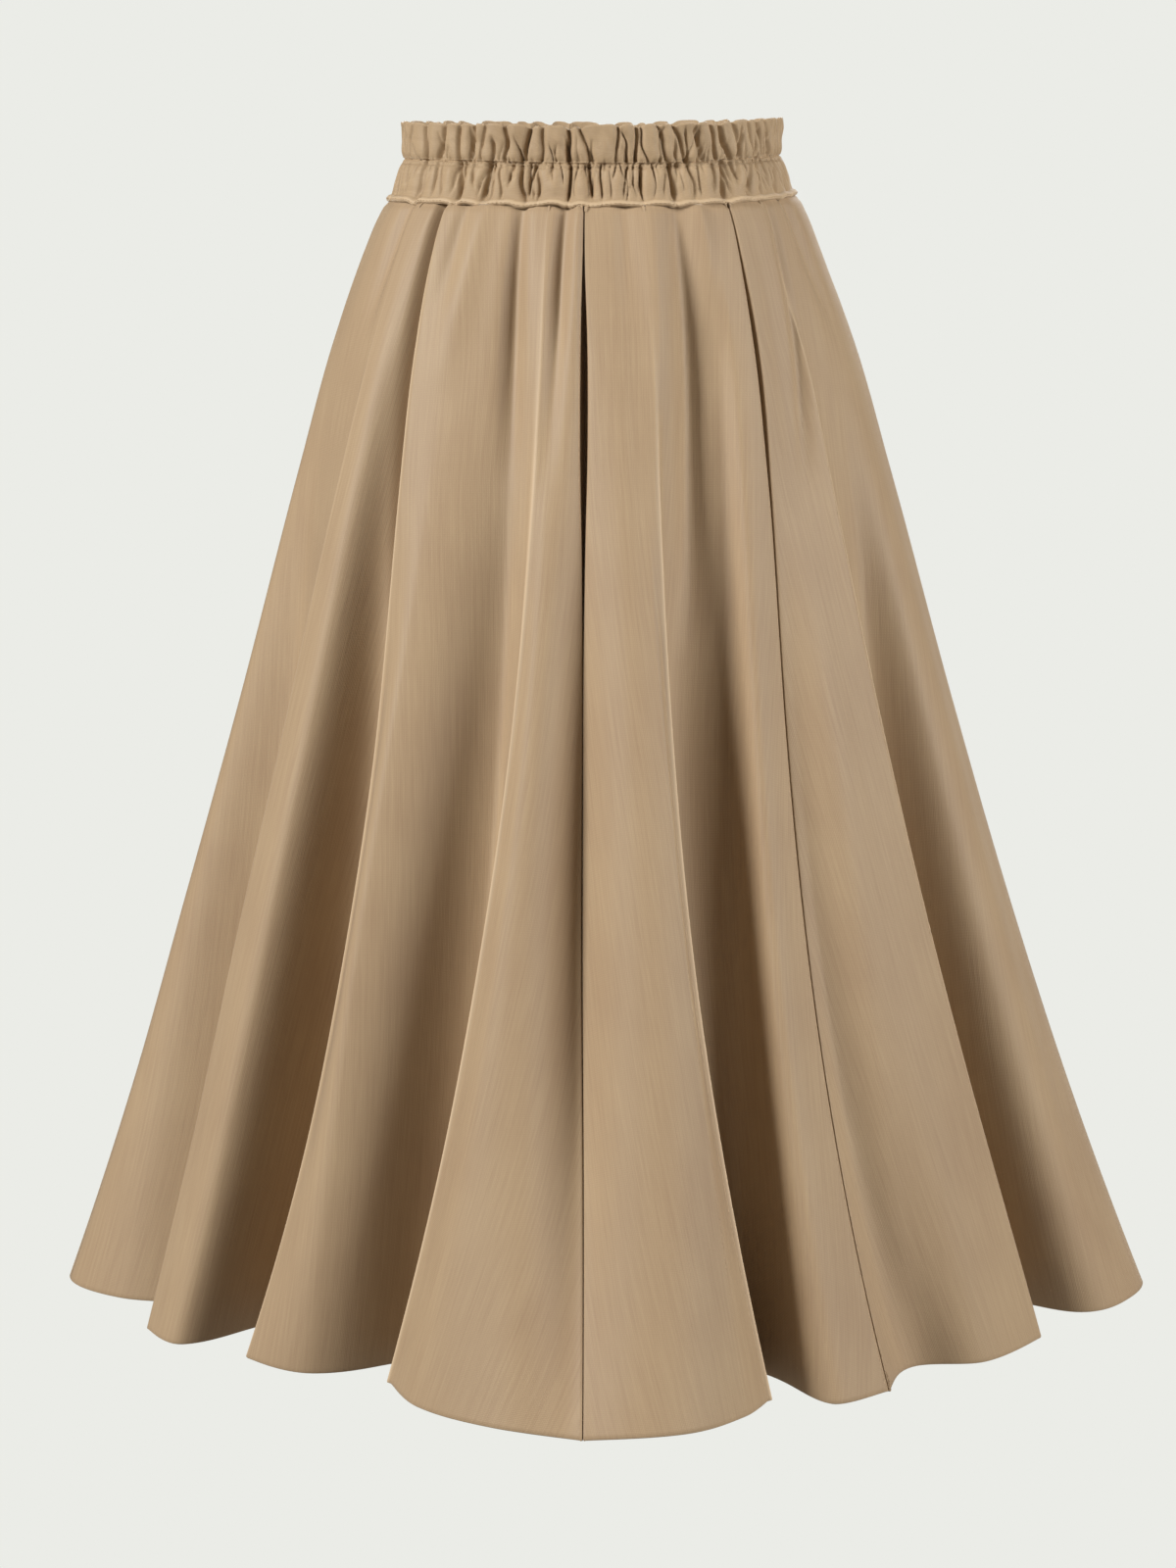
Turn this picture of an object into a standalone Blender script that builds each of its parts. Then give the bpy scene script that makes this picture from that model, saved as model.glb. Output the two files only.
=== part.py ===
"""Pleated midi skirt: eight flared gores, pleated at their seams, on a gathered elastic waistband.

Metres, +Z up. The origin is the centre of the waist, level with the row of stitches between the
frilled heading and the elastic casing. The front faces -Y, and left and right are as seen there.
Each gore is a cloth wall lofted down through sections of the skirt. A section is a closed smooth
curve through the folds, whose places come from the tables below.
"""

import math

import bmesh
import bpy

# ---------------------------------------------------------------- driving sizes

WAIST_SEAM_Z = -0.0250
HEM_Z = -0.7735
SKIRT_DROP = WAIST_SEAM_Z - HEM_Z

CLOTH_WALL = 0.0013
BAND_WALL = 0.0024
SEAM_GAP = 0.0003

# The outline of the hanging skirt: the ellipse that its highest folds reach at each section.
# drop below the waist seam, half width, half depth, how far its centre lies to the right
OUTLINE = (
    (0.000, 0.1385, 0.1040, 0.0005),
    (0.030, 0.1530, 0.1170, 0.0005),
    (0.090, 0.1740, 0.1340, 0.0015),
    (0.175, 0.1990, 0.1560, 0.0020),
    (0.337, 0.2440, 0.1940, 0.0025),
    (0.475, 0.2850, 0.2280, 0.0035),
    (0.614, 0.3290, 0.2660, 0.0065),
    (SKIRT_DROP, 0.3780, 0.3090, 0.0095),
)

# Heights at which the fold table is given, as shares of the drop.
WAIST, HIP, MID, HEM = 0.0, 0.15, 0.50, 1.0

# The folds of one half of the skirt, from its left side seam to its right one. Angles are degrees
# round the outline's ellipse from the centre front, to the right. Reach is the share of the
# outline that the fold stands out to, and is 1 at the waist. Round is 1 for a soft roll of cloth
# and less for a pressed edge.
# fold, angle at waist, mid and hem, reach at hip, mid and hem, round
FOLDS = (
    ("side_seam", -90.0, -90.0, -90.0, 1.000, 1.000, 1.000, 1.0),
    ("side_roll", -83.0, -83.0, -81.7, 0.995, 0.975, 0.925, 1.0),
    ("side_valley", -71.0, -75.5, -75.0, 0.980, 0.915, 0.750, 0.8),
    ("second_edge", -55.0, -63.5, -68.4, 1.000, 0.965, 0.885, 0.7),
    ("second_roll", -52.0, -56.0, -59.7, 0.995, 0.940, 0.864, 1.0),
    ("second_valley", -47.8, -49.0, -62.0, 0.970, 0.850, 0.630, 0.9),
    ("left_pleat_edge", -43.6, -40.5, -50.7, 1.000, 0.945, 0.813, 0.5),
    ("left_panel", -33.0, -33.0, -39.5, 0.995, 0.930, 0.788, 1.0),
    ("left_valley", -19.5, -25.0, -32.0, 0.975, 0.850, 0.605, 0.9),
    ("centre_left_edge", -12.0, -15.5, -29.8, 0.995, 0.940, 0.766, 0.6),
    ("centre_left_roll", -8.5, -11.0, -20.0, 0.990, 0.960, 0.860, 1.0),
    ("centre_left_crown", -5.0, -6.5, -12.0, 0.995, 0.980, 0.940, 1.0),
    ("centre_slot", -1.3, -1.9, -2.4, 1.000, 0.990, 1.000, 0.6),
    ("centre_right_crown", 4.0, 5.0, 7.9, 1.000, 0.985, 0.967, 1.0),
    ("centre_right_roll", 8.5, 9.5, 15.0, 0.995, 0.970, 0.894, 1.0),
    ("centre_right_edge", 14.0, 13.5, 20.0, 0.985, 0.935, 0.820, 0.6),
    ("right_valley", 25.5, 20.5, 22.5, 0.960, 0.835, 0.640, 0.9),
    ("right_panel_edge", 34.0, 27.5, 25.6, 0.990, 0.940, 0.880, 0.8),
    ("right_slot", 41.0, 33.2, 33.8, 1.000, 0.945, 0.866, 0.6),
    ("right_slot_roll", 45.5, 37.0, 39.8, 0.975, 0.915, 0.800, 1.0),
    ("right_side_valley", 49.0, 41.0, 44.0, 0.970, 0.900, 0.784, 1.0),
    ("sixth_roll", 52.0, 46.5, 51.0, 0.995, 0.935, 0.852, 1.0),
    ("sixth_edge", 56.0, 53.5, 64.0, 1.000, 0.960, 0.865, 0.6),
    ("last_valley", 64.0, 61.0, 78.0, 0.980, 0.865, 0.730, 0.9),
    ("last_edge", 74.0, 71.0, 75.0, 0.995, 0.950, 0.895, 1.0),
    ("last_roll", 83.0, 80.0, 80.5, 1.000, 0.985, 0.965, 1.0),
)

# Inverted pleats: the seam lies at the bottom of a narrow slot between two pressed lips.
# fold: the slot's half width at waist, hip, mid and hem, its depth at waist, hip, mid and hem
SLOTS = {
    "centre_slot": (0.0020, 0.0028, 0.0022, 0.0030, 0.0004, 0.0090, 0.0050, 0.0008),
    "right_slot": (0.0020, 0.0024, 0.0020, 0.0030, 0.0004, 0.0080, 0.0040, 0.0008),
}

# Tucks: the cloth turns back under an edge of a roll. Which side of the edge it turns to is -1 or 1.
# fold: side, how far it goes under at waist, hip, mid and hem, its depth at waist, hip, mid and hem
TUCKS = {
    "second_edge": (-1, -0.0100, -0.0080, -0.0010, 0.0005, 0.0000, 0.0005, 0.0040, 0.0100),
    "left_pleat_edge": (-1, -0.0030, -0.0005, 0.0010, 0.0000, 0.0003, 0.0080, 0.0110, 0.0150),
    "centre_left_edge": (-1, -0.0100, -0.0090, 0.0005, 0.0010, 0.0000, 0.0010, 0.0080, 0.0170),
    "centre_right_edge": (1, -0.0100, -0.0080, 0.0005, 0.0010, 0.0000, 0.0010, 0.0090, 0.0170),
    "sixth_edge": (1, -0.0080, -0.0020, 0.0005, 0.0005, 0.0000, 0.0040, 0.0090, 0.0130),
}

# The back half repeats the front's folds half a turn on, a little shallower and unevenly spaced.
BACK_TURN = 180.0
BACK_EASE = 0.88
BACK_DRIFT = 1.6

# gore, whether it is in the back half, its first seam and its last
GORES = (
    ("gore_front_side_left", False, "side_seam", "left_pleat_edge"),
    ("gore_front_centre_left", False, "left_pleat_edge", "centre_slot"),
    ("gore_front_centre_right", False, "centre_slot", "right_slot"),
    ("gore_front_side_right", False, "right_slot", "side_seam"),
    ("gore_back_side_right", True, "side_seam", "left_pleat_edge"),
    ("gore_back_centre_right", True, "left_pleat_edge", "centre_slot"),
    ("gore_back_centre_left", True, "centre_slot", "right_slot"),
    ("gore_back_side_left", True, "right_slot", "side_seam"),
)

# Sections of the wall, as shares of the drop: close together where the pleats open.
SECTIONS = (0.0, 0.025, 0.06, 0.11, 0.17, 0.25, 0.34, 0.44, 0.55, 0.66, 0.77, 0.89, 1.0)

# A step of the wall along the hem, and the fewest steps between two folds.
STEP_LENGTH = 0.020
FEWEST_STEPS = 2

# The waistband, one strip folded double over the elastic.
# height, half width, half depth, depth of the heading's gathers, depth of the casing's gathers
BAND = (
    (0.0275, 0.1272, 0.0960, 0.0046, 0.0000),
    (0.0140, 0.1270, 0.0958, 0.0040, 0.0000),
    (0.0035, 0.1272, 0.0960, 0.0024, 0.0004),
    (0.0000, 0.1262, 0.0950, 0.0010, 0.0010),
    (-0.0045, 0.1282, 0.0970, 0.0004, 0.0028),
    (-0.0130, 0.1328, 0.1002, 0.0000, 0.0042),
    (-0.0205, 0.1368, 0.1030, 0.0000, 0.0030),
    (-0.0247, 0.1392, 0.1047, 0.0000, 0.0008),
)
BAND_STEPS = 3

# The creases between gathers on the front half of the band.
# angle from the centre front, depth as a share of the deepest in the heading and in the casing
CREASES = (
    (-86.0, 0.45, 0.60), (-74.0, 0.50, 0.50), (-65.0, 0.60, 0.70), (-58.5, 0.45, 0.55),
    (-52.0, 0.70, 0.60), (-45.5, 0.50, 0.80), (-39.0, 0.60, 0.60), (-33.5, 0.75, 0.55),
    (-28.5, 0.55, 0.70), (-22.0, 1.00, 1.00), (-15.5, 0.60, 0.60), (-7.5, 0.90, 1.00),
    (-1.0, 0.70, 0.60), (5.5, 0.60, 0.70), (10.5, 0.75, 0.50), (15.5, 0.55, 0.60),
    (20.0, 0.60, 0.65), (26.0, 0.70, 0.60), (32.0, 0.80, 1.00), (37.0, 0.50, 0.55),
    (43.0, 0.70, 0.65), (48.5, 0.60, 0.50), (54.5, 0.55, 1.00), (60.5, 0.75, 0.45),
    (66.5, 0.50, 0.65), (73.5, 0.55, 0.50), (82.0, 0.45, 0.60),
)

CLOTH_COLOUR = (0.462, 0.327, 0.201)
BAND_COLOUR = (0.440, 0.308, 0.187)
CLOTH_ROUGHNESS = 0.62


# ---------------------------------------------------------------- curves and sections

def through(stops, values, at):
    """The value at one place, on a smooth curve that passes through a value at each stop."""
    spans = [after - before for before, after in zip(stops, stops[1:])]
    rises = [(after - before) / span for before, after, span in zip(values, values[1:], spans)]
    slopes = []
    for low, high, below, above in zip(rises, rises[1:], spans, spans[1:]):
        slopes.append((low * above + high * below) / (below + above))
    slopes.insert(0, 2 * rises[0] - slopes[0])
    slopes.append(2 * rises[-1] - slopes[-1])
    i = 0
    while i < len(spans) - 1 and at > stops[i + 1]:
        i += 1
    s = (at - stops[i]) / spans[i]
    start = (1 + 2 * s) * (1 - s) ** 2 * values[i] + s * (1 - s) ** 2 * spans[i] * slopes[i]
    end = s * s * (3 - 2 * s) * values[i + 1] - s * s * (1 - s) * spans[i] * slopes[i + 1]
    return start + end


def outline_at(share):
    """Half width, half depth and sideways shift of the skirt's outline at a share of the drop."""
    drops = [row[0] for row in OUTLINE]
    return [through(drops, [row[column] for row in OUTLINE], share * SKIRT_DROP)
            for column in (1, 2, 3)]


def on_outline(share, angle, reach):
    """The plan position of a point at an angle round the outline, at a share of its reach."""
    half_width, half_depth, shift = outline_at(share)
    turn = math.radians(angle)
    return shift + half_width * reach * math.sin(turn), -half_depth * reach * math.cos(turn)


def beside(share, angle, reach, along, inward):
    """The plan position of a point moved along the outline, and in towards its middle."""
    half_width, half_depth, _ = outline_at(share)
    turn = math.radians(angle)
    across = half_width * math.cos(turn), half_depth * math.sin(turn)
    length = math.hypot(*across)
    x, y = on_outline(share, angle, reach)
    return (x + (along * across[0] - inward * across[1]) / length,
            y + (along * across[1] + inward * across[0]) / length)


def fold_corners(share, fold, angle, reach, roundness):
    """A fold's corners in order round the skirt. The seam, if it has one, is its marked corner."""
    levels = (WAIST, HIP, MID, HEM)
    edge = (on_outline(share, angle, reach), roundness, False)
    if fold in SLOTS:
        opening = through(levels, SLOTS[fold][:4], share)
        depth = through(levels, SLOTS[fold][4:], share)
        return ((beside(share, angle, reach, -opening, 0.0), roundness, False),
                (beside(share, angle, reach, 0.0, depth), 1.0, True),
                (beside(share, angle, reach, opening, 0.0), roundness, False))
    if fold in TUCKS:
        side = TUCKS[fold][0]
        under = through(levels, TUCKS[fold][1:5], share)
        depth = through(levels, TUCKS[fold][5:], share)
        tuck = (beside(share, angle, reach, -side * under, depth), 1.0, True)
        return (edge, tuck) if side > 0 else (tuck, edge)
    return ((edge[0], edge[1], True),)


def section_corners(share):
    """All folds of one section in order round the skirt, each with its corners."""
    folds = []
    for in_back in (False, True):
        for fold, at_waist, at_mid, at_hem, hip_reach, mid_reach, hem_reach, roundness in FOLDS:
            angle = through((WAIST, MID, HEM), (at_waist, at_mid, at_hem), share)
            reach = through((WAIST, HIP, MID, HEM), (1.0, hip_reach, mid_reach, hem_reach), share)
            if in_back:
                angle += BACK_TURN + BACK_DRIFT * math.sin(math.radians(4 * angle))
                reach = 1 - (1 - reach) * BACK_EASE
            folds.append(((in_back, fold), fold_corners(share, fold, angle, reach, roundness)))
    return folds


def section_columns():
    """Steps of the wall after each corner, and the column at which each seam's corner stands."""
    folds = section_corners(HEM)
    steps = []
    seam_columns = {}
    for i, (key, corners) in enumerate(folds):
        next_corner = folds[(i + 1) % len(folds)][1][0]
        for j, (_, _, is_seam) in enumerate(corners):
            if is_seam:
                seam_columns[key] = sum(steps)
            if j < len(corners) - 1:
                steps.append(1)
            else:
                span = math.dist(corners[j][0], next_corner[0])
                steps.append(max(FEWEST_STEPS, round(span / STEP_LENGTH)))
    return steps, seam_columns


def section_ring(share, steps):
    """The outer face of the cloth at one section, as a closed ring of plan points."""
    corners = [corner for _, fold in section_corners(share) for corner in fold]
    count = len(corners)
    directions = []
    for i in range(count):
        x0, y0 = corners[i - 1][0]
        x1, y1 = corners[(i + 1) % count][0]
        length = math.hypot(x1 - x0, y1 - y0)
        directions.append(((x1 - x0) / length, (y1 - y0) / length))
    ring = []
    for i in range(count):
        start, start_round, _ = corners[i]
        end, end_round, _ = corners[(i + 1) % count]
        span = math.dist(start, end)
        for step in range(steps[i]):
            s = step / steps[i]
            leave = s * (1 - s) ** 2 * span * start_round
            arrive = -s * s * (1 - s) * span * end_round
            stay, go = (1 + 2 * s) * (1 - s) ** 2, s * s * (3 - 2 * s)
            ring.append(tuple(stay * start[k] + go * end[k] + leave * directions[i][k]
                              + arrive * directions[(i + 1) % count][k] for k in (0, 1)))
    return ring


def inner_ring(ring, wall):
    """The inner face of a wall: each point of its outer ring moved in, square to the ring."""
    inner = []
    for i, (x, y) in enumerate(ring):
        (x0, y0), (x1, y1) = ring[i - 1], ring[(i + 1) % len(ring)]
        length = math.hypot(x1 - x0, y1 - y0)
        inner.append((x - wall * (y1 - y0) / length, y + wall * (x1 - x0) / length))
    return inner


# ---------------------------------------------------------------- solids

def cloth_material(name, colour):
    """Plain woven cloth in one colour."""
    material = bpy.data.materials.new(name)
    material.use_nodes = True
    shader = material.node_tree.nodes["Principled BSDF"]
    shader.inputs["Base Color"].default_value = (*colour, 1.0)
    shader.inputs["Roughness"].default_value = CLOTH_ROUGHNESS
    shader.inputs["Metallic"].default_value = 0.0
    return material


def wall_object(name, outer, inner, closed, material):
    """A cloth wall between two grids of points, given as rows from the top to the bottom."""
    mesh = bmesh.new()
    grids = [[[mesh.verts.new(point) for point in row] for row in grid] for grid in (outer, inner)]
    faces_out, faces_in = grids
    rows, columns = len(outer), len(outer[0])
    for column in range(columns if closed else columns - 1):
        after = (column + 1) % columns
        for row in range(rows - 1):
            mesh.faces.new((faces_out[row][column], faces_out[row + 1][column],
                            faces_out[row + 1][after], faces_out[row][after]))
            mesh.faces.new((faces_in[row][column], faces_in[row][after],
                            faces_in[row + 1][after], faces_in[row + 1][column]))
        mesh.faces.new((faces_out[0][column], faces_out[0][after],
                        faces_in[0][after], faces_in[0][column]))
        mesh.faces.new((faces_out[-1][column], faces_in[-1][column],
                        faces_in[-1][after], faces_out[-1][after]))
    if not closed:
        for row in range(rows - 1):
            mesh.faces.new((faces_out[row][0], faces_in[row][0],
                            faces_in[row + 1][0], faces_out[row + 1][0]))
            mesh.faces.new((faces_out[row][-1], faces_out[row + 1][-1],
                            faces_in[row + 1][-1], faces_in[row][-1]))
    data = bpy.data.meshes.new(name)
    mesh.to_mesh(data)
    mesh.free()
    data.materials.append(material)
    data.shade_smooth()
    data.set_sharp_from_angle(angle=math.radians(50))
    return bpy.data.objects.new(name, data)


def eased_edge(row, at_start):
    """A row of a gore with its seam edge drawn back by half the gap between two pieces."""
    edge, beside = (row[0], row[1]) if at_start else (row[-1], row[-2])
    share = SEAM_GAP / 2 / math.dist(edge, beside)
    moved = tuple(a + share * (b - a) for a, b in zip(edge, beside))
    return [moved, *row[1:]] if at_start else [*row[:-1], moved]


def make_gores():
    """The eight gores, each the stretch of every section between its two seams."""
    steps, seam_columns = section_columns()
    outer_rings = []
    inner_rings = []
    for share in SECTIONS:
        z = WAIST_SEAM_Z - share * SKIRT_DROP
        ring = section_ring(share, steps)
        outer_rings.append([(x, y, z) for x, y in ring])
        inner_rings.append([(x, y, z) for x, y in inner_ring(ring, CLOTH_WALL)])
    total = len(outer_rings[0])
    gores = []
    for name, in_back, first_seam, last_seam in GORES:
        ends_next_half = last_seam == "side_seam"
        first = seam_columns[in_back, first_seam]
        last = seam_columns[in_back != ends_next_half, last_seam]
        count = (last - first) % total + 1
        grids = []
        for rings in (outer_rings, inner_rings):
            rows = [[ring[(first + i) % total] for i in range(count)] for ring in rings]
            grids.append([eased_edge(eased_edge(row, True), False) for row in rows])
        gores.append(wall_object(name, grids[0], grids[1], False, cloth_material(name, CLOTH_COLOUR)))
    return gores


def band_creases():
    """The creases all round the band: the front's, then the same ones half a turn on."""
    return [(angle + turn, heading, casing)
            for turn in (0.0, BACK_TURN) for angle, heading, casing in CREASES]


def make_waistband():
    """The waistband: a ring whose wall dips at each crease and stands out between them."""
    creases = band_creases()
    outer_rings = []
    inner_rings = []
    for height, half_width, half_depth, heading_depth, casing_depth in BAND:
        ring = []
        for i, (angle, heading, casing) in enumerate(creases):
            next_angle, next_heading, next_casing = creases[(i + 1) % len(creases)]
            span = (next_angle - angle) % 360.0
            dip = heading_depth * heading + casing_depth * casing
            next_dip = heading_depth * next_heading + casing_depth * next_casing
            for step in range(BAND_STEPS):
                s = step / BAND_STEPS
                near = (1 + math.cos(math.tau * min(s, 0.5))) / 2
                far = (1 + math.cos(math.tau * min(1 - s, 0.5))) / 2
                inset = dip * near + next_dip * far
                turn = math.radians(angle + s * span)
                ring.append(((half_width - inset) * math.sin(turn),
                             -(half_depth - inset) * math.cos(turn)))
        outer_rings.append([(x, y, height) for x, y in ring])
        inner_rings.append([(x, y, height) for x, y in inner_ring(ring, BAND_WALL)])
    return wall_object("waistband", outer_rings, inner_rings, True,
                       cloth_material("waistband", BAND_COLOUR))


def make_skirt():
    """All pieces in their own collection, hung from an empty at the waist."""
    for old in list(bpy.data.objects):
        bpy.data.objects.remove(old, do_unlink=True)
    collection = bpy.data.collections.new("pleated_midi_skirt")
    bpy.context.scene.collection.children.link(collection)
    waist = bpy.data.objects.new("waist_hold", None)
    collection.objects.link(waist)
    for piece in (*make_gores(), make_waistband()):
        collection.objects.link(piece)
        piece.parent = waist


make_skirt()
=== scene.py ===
"""Pleated midi skirt: its eight gores, the gathered waistband, the stitches and the studio.

Metres, +Z up. The front faces -Y, and left and right are as seen there.
"""

import math

import bpy
import numpy as np
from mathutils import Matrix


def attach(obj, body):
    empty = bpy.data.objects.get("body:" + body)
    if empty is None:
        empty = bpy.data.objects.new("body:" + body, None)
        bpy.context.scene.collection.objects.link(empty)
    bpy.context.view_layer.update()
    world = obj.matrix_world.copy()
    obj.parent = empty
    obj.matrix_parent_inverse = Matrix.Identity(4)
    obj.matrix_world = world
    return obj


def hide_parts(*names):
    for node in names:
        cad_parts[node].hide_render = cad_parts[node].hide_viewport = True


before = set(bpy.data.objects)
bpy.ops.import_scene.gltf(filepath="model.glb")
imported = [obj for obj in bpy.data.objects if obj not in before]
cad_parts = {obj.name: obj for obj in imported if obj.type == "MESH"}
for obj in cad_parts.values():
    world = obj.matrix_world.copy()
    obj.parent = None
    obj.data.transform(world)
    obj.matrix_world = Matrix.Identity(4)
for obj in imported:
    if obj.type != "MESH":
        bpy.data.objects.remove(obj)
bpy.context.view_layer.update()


# ---------------------------------------------------------------- gores
# Eight flared panels of one plain khaki cloth, a fine closely woven polyester with a soft face.
# They are sewn edge to edge, pressed into pleats along the seams and hung from the waistband, so
# each falls in rolls that deepen towards the hem. The hem is turned up once and blind-stitched.

WAIST_SEAM_Z = -0.0250
HEM_Z = -0.7742
SKIRT_DROP = WAIST_SEAM_Z - HEM_Z
CLOTH_THICKNESS = 0.0008

# The outline that the highest folds reach.
# drop below the waist seam, half width, half depth, how far its centre lies to the right
OUTLINE = (
    (0.000, 0.1360, 0.1022, 0.0004),
    (0.011, 0.1425, 0.1078, 0.0004),
    (0.030, 0.1512, 0.1157, 0.0005),
    (0.090, 0.1740, 0.1340, 0.0015),
    (0.175, 0.1990, 0.1560, 0.0020),
    (0.337, 0.2440, 0.1940, 0.0025),
    (0.475, 0.2850, 0.2280, 0.0035),
    (0.614, 0.3290, 0.2660, 0.0065),
    (SKIRT_DROP, 0.3780, 0.3090, 0.0095),
)

# Heights at which the folds are given, as shares of the drop.
WAIST, HIP, MID, HEM = 0.0, 0.15, 0.50, 1.0

# The folds of one half of the skirt, from its left side seam to its right one. Angles are degrees
# round the outline from the centre front. Reach is the share of the outline that a fold stands
# out to, and is 1 at the waist. Round is 1 for a soft roll of cloth and less for a pressed edge.
# fold, angle at waist, mid and hem, reach at hip, mid and hem, round
FOLDS = (
    ("side_seam", -90.0, -90.0, -90.0, 1.000, 1.000, 1.000, 1.0),
    ("side_roll", -84.0, -86.2, -81.5, 0.998, 0.978, 0.905, 1.0),
    ("side_valley", -72.0, -80.1, -75.0, 0.975, 0.832, 0.745, 0.6),
    ("second_edge", -55.0, -61.2, -68.2, 0.998, 0.958, 0.885, 0.35),
    ("second_roll", -51.8, -52.4, -59.7, 1.004, 0.962, 0.868, 1.0),
    ("second_valley", -47.4, -48.7, -62.0, 0.955, 0.755, 0.636, 0.9),
    ("left_pleat_edge", -44.2, -38.9, -50.9, 1.002, 0.918, 0.813, 0.2),
    ("left_panel", -32.6, -32.4, -39.5, 0.994, 1.000, 0.798, 1.2),
    ("left_valley", -20.3, -19.0, -29.4, 0.945, 0.802, 0.608, 1.0),
    ("centre_left_edge", -12.0, -14.6, -29.5, 0.995, 0.932, 0.766, 0.4),
    ("centre_left_roll", -8.0, -11.0, -21.5, 1.002, 0.992, 0.872, 1.1),
    ("centre_left_crown", -4.6, -7.0, -12.0, 0.993, 0.975, 0.945, 1.0),
    ("centre_slot", -2.2, -2.2, -2.4, 0.972, 0.915, 0.998, 0.6),
    ("centre_right_crown", 3.8, 4.9, 7.9, 1.002, 1.015, 0.970, 1.1),
    ("centre_right_roll", 8.0, 10.6, 15.0, 1.000, 1.008, 0.896, 1.0),
    ("centre_right_edge", 13.9, 12.3, 20.0, 0.996, 0.965, 0.820, 0.3),
    ("right_valley", 28.2, 24.0, 22.5, 0.925, 0.822, 0.642, 1.2),
    ("right_panel_edge", 33.8, 26.0, 25.6, 0.987, 0.952, 0.880, 0.7),
    ("right_slot", 39.8, 32.3, 33.8, 0.990, 0.925, 0.866, 0.6),
    ("right_slot_roll", 43.4, 34.4, 39.8, 0.988, 0.932, 0.796, 1.0),
    ("right_side_valley", 46.6, 39.4, 44.0, 0.977, 0.980, 0.788, 1.0),
    ("sixth_roll", 49.8, 45.6, 50.6, 0.988, 0.984, 0.858, 1.0),
    ("sixth_edge", 53.4, 51.5, 63.6, 0.998, 0.985, 0.865, 0.35),
    ("last_valley", 64.0, 62.4, 77.4, 0.981, 0.830, 0.730, 0.8),
    ("last_edge", 73.9, 67.0, 75.0, 0.998, 0.990, 0.895, 1.1),
    ("last_roll", 83.0, 79.7, 80.5, 1.000, 1.004, 0.965, 1.0),
)

# The two inverted pleats open below the waist and close again further down, over a seam that
# lies at the bottom of the slot. For each height, as a share of the drop: half width, depth.
SLOTS = {
    "centre_slot": ((0.00, 0.0006, 0.0015), (0.04, 0.0009, 0.0050), (0.10, 0.0024, 0.0100),
                    (0.20, 0.0029, 0.0110), (0.29, 0.0014, 0.0080), (0.36, 0.0007, 0.0045),
                    (0.60, 0.0006, 0.0030), (1.00, 0.0005, 0.0020)),
    "right_slot": ((0.00, 0.0006, 0.0020), (0.04, 0.0009, 0.0050), (0.09, 0.0017, 0.0090),
                   (0.17, 0.0018, 0.0100), (0.25, 0.0009, 0.0070), (0.32, 0.0007, 0.0040),
                   (0.60, 0.0005, 0.0020), (1.00, 0.0005, 0.0014)),
}

# Tucks: the cloth turns back under an edge of a roll. Which side of the edge it turns to is -1 or 1.
# fold: side, how far it goes under at waist, hip, mid and hem, its depth at waist, hip, mid and hem
TUCKS = {
    "second_edge": (-1, -0.0100, -0.0040, 0.0010, 0.0015, 0.0000, 0.0020, 0.0120, 0.0165),
    "left_pleat_edge": (-1, 0.0006, 0.0014, 0.0014, 0.0010, 0.0050, 0.0130, 0.0130, 0.0190),
    "centre_left_edge": (-1, -0.0100, -0.0080, 0.0010, 0.0015, 0.0000, 0.0050, 0.0070, 0.0190),
    "centre_right_edge": (1, -0.0100, -0.0060, 0.0020, 0.0015, 0.0000, 0.0030, 0.0320, 0.0220),
    "sixth_edge": (1, -0.0080, -0.0010, 0.0010, 0.0010, 0.0000, 0.0040, 0.0140, 0.0180),
}

# The edge over a tuck is rolled: it drops by RIM_DROP over its last RIM_WIDTH.
RIM_WIDTH = 0.0034
RIM_DROP = 0.0015
RIM_OPEN_DEPTH = 0.010      # of a tuck whose edge is rolled and pressed in full
RIM_LEAST = 0.06            # share of the rim that stays where the tuck is flat
EDGE_ROUND = 0.5            # round of an edge that is pressed in full

# The back half repeats the front's folds half a turn on, a little shallower and unevenly spaced.
BACK_TURN = 180.0
BACK_EASE = 0.88            # share of the front's fold depth
BACK_DRIFT = 1.6            # degrees that a fold lies off an even half turn at most
BACK_DRIFT_WAVES = 4        # waves of that in a whole turn

# The waist seam isn't level. Angle round the outline, how far it lies above its height.
SEAM_LIFT = (
    (-90.0, 0.0020),
    (-45.0, 0.0022),
    (0.0, 0.0016),
    (30.0, 0.0020),
    (50.0, 0.0036),
    (75.0, 0.0056),
    (90.0, 0.0060),
    (135.0, 0.0032),
    (180.0, 0.0018),
    (225.0, 0.0024),
    (270.0, 0.0020),
)
TROUGH_SINKS = 0.40         # by this share of its depth a trough's hem hangs lower
TROUGH_SINK_POWER = 3       # a higher one keeps that nearer the hem
LIFT_FADE = 0.06            # share of the drop over which the cloth comes level again
SEAM_INSET = 0.0018         # how far the panels' top edge goes in under the band's ridge
SEAM_INSET_FADE = 0.0045

# The hem: the cloth turned up once on the inside.
HEM_FOLD_RADIUS = 0.0009
HEM_FOLD_TURNS = (45.0, 90.0, 135.0, 180.0)     # degrees round the fold where rows lie
HEM_TURN_UP_ROWS = (1, 2, 4)   # rows of the outer cloth that the turned allowance lies behind

EDGE_HIGHLIGHT_WIDTH = 0.0016      # the painted highlight along an edge over a tuck is this wide

# Shares of the drop between which rows lie, the rows there, and the same steps round the hem.
ROW_SHARES = ((0.0, 0.012, 6), (0.012, 0.12, 26), (0.12, 0.97, 88), (0.97, 1.0, 8))
STEP_LENGTH = 0.0034
FEWEST_STEPS = 6
SLOT_STEPS = 5

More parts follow.
